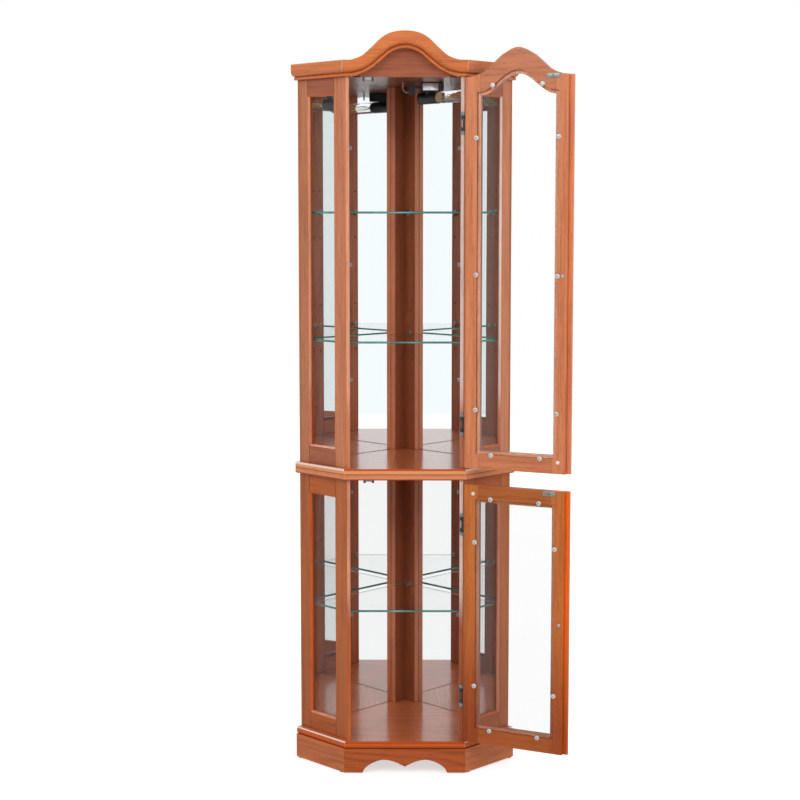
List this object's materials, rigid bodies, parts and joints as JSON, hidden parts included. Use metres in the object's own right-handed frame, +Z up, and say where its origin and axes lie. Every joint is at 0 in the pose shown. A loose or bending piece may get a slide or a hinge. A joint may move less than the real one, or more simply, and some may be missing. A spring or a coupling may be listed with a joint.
{
  "type": "corner display case",
  "caption": "Tall five-sided corner display case with an arched head, glazed doors and sides, a mirrored back, glass shelves and a lamp under the top.",
  "frame": {"origin": "centre of the underside of the rear glide, on the floor and on the case's plane of symmetry", "axes": "+Z up; -Y towards the front of the case; +X to the side that the doors hinge on"},
  "size_m": [0.6705, 0.5118, 1.801],
  "materials": {
    "stained_wood": "stained and lacquered, satin",
    "moulding_wood": "stained and lacquered, semi-gloss",
    "inner_wood": "dark stain, satin",
    "back_board": "raw board",
    "clear_glass": "polished",
    "mirror_glass": "silvered",
    "nickel_steel": "plated",
    "aged_brass": "satin",
    "black_plastic": "moulded, matte",
    "clear_lead": "translucent sheath"
  },
  "bodies": {
    "cabinet": {"plinth_front": "stained_wood", "plinth_right": "stained_wood", "plinth_left": "stained_wood", "rear_corner_block": "back_board", "glide_front_right": "black_plastic", "glide_rear_right": "black_plastic", "glide_rear_centre": "black_plastic", "glide_front_left": "black_plastic", "glide_rear_left": "black_plastic", "bottom_board": "moulding_wood", "middle_board": "moulding_wood", "top_board": "inner_wood", "cornice_front": "moulding_wood", "cornice_right": "moulding_wood", "cornice_left": "moulding_wood", "header_panel": "stained_wood", "upper_side_frame_right": "stained_wood", "upper_side_frame_left": "stained_wood", "lower_side_frame_right": "stained_wood", "lower_side_frame_left": "stained_wood", "upper_side_glass_right": "clear_glass", "upper_side_glass_left": "clear_glass", "lower_side_glass_right": "clear_glass", "lower_side_glass_left": "clear_glass", "upper_corner_post": "inner_wood", "lower_corner_post": "inner_wood", "back_board_right": "back_board", "back_board_left": "back_board", "upper_mirror_right": "mirror_glass", "upper_mirror_left": "mirror_glass", "lower_mirror_right": "mirror_glass", "lower_mirror_left": "mirror_glass", "upper_hinge_1_frame_leaf": "nickel_steel", "upper_hinge_2_frame_leaf": "nickel_steel", "lower_hinge_1_frame_leaf": "nickel_steel", "lower_hinge_2_frame_leaf": "nickel_steel", "upper_door_catch": "black_plastic", "lower_door_catch": "black_plastic", "lamp_holder": "black_plastic", "lamp_bulb": "clear_glass", "lamp_lead": "clear_lead"},
    "upper_door": {"upper_door_hinge_stile": "stained_wood", "upper_door_free_stile": "stained_wood", "upper_door_top_rail": "stained_wood", "upper_door_bottom_rail": "stained_wood", "upper_door_glass": "clear_glass", "upper_door_knob": "aged_brass", "upper_hinge_1_door_leaf": "nickel_steel", "upper_hinge_2_door_leaf": "nickel_steel"},
    "lower_door": {"lower_door_hinge_stile": "stained_wood", "lower_door_free_stile": "stained_wood", "lower_door_top_rail": "stained_wood", "lower_door_bottom_rail": "stained_wood", "lower_door_glass": "clear_glass", "lower_door_knob": "aged_brass", "lower_hinge_1_door_leaf": "nickel_steel", "lower_hinge_2_door_leaf": "nickel_steel"},
    "upper_shelf": {"glass_shelf_1": "clear_glass"},
    "middle_shelf": {"glass_shelf_2": "clear_glass"},
    "lower_shelf": {"glass_shelf_3": "clear_glass"}
  },
  "joints": [
    {"name": "upper_door_hinge", "type": "hinge", "parent": "cabinet", "child": "upper_door", "pos_m": [0.1399, -0.34618, 1.2245], "axis": [0, 0, 1], "range_deg": [-155.4, 24.6]},
    {"name": "lower_door_hinge", "type": "hinge", "parent": "cabinet", "child": "lower_door", "pos_m": [0.1399, -0.34618, 0.406], "axis": [0, 0, 1], "range_deg": [-154.6, 25.4]},
    {"name": "upper_shelf_lift", "type": "slide", "parent": "cabinet", "child": "upper_shelf", "axis": [0, 0, 1], "range_m": [0, 0.05]},
    {"name": "middle_shelf_lift", "type": "slide", "parent": "cabinet", "child": "middle_shelf", "axis": [0, 0, 1], "range_m": [0, 0.05]},
    {"name": "lower_shelf_lift", "type": "slide", "parent": "cabinet", "child": "lower_shelf", "axis": [0, 0, 1], "range_m": [0, 0.05]}
  ]
}
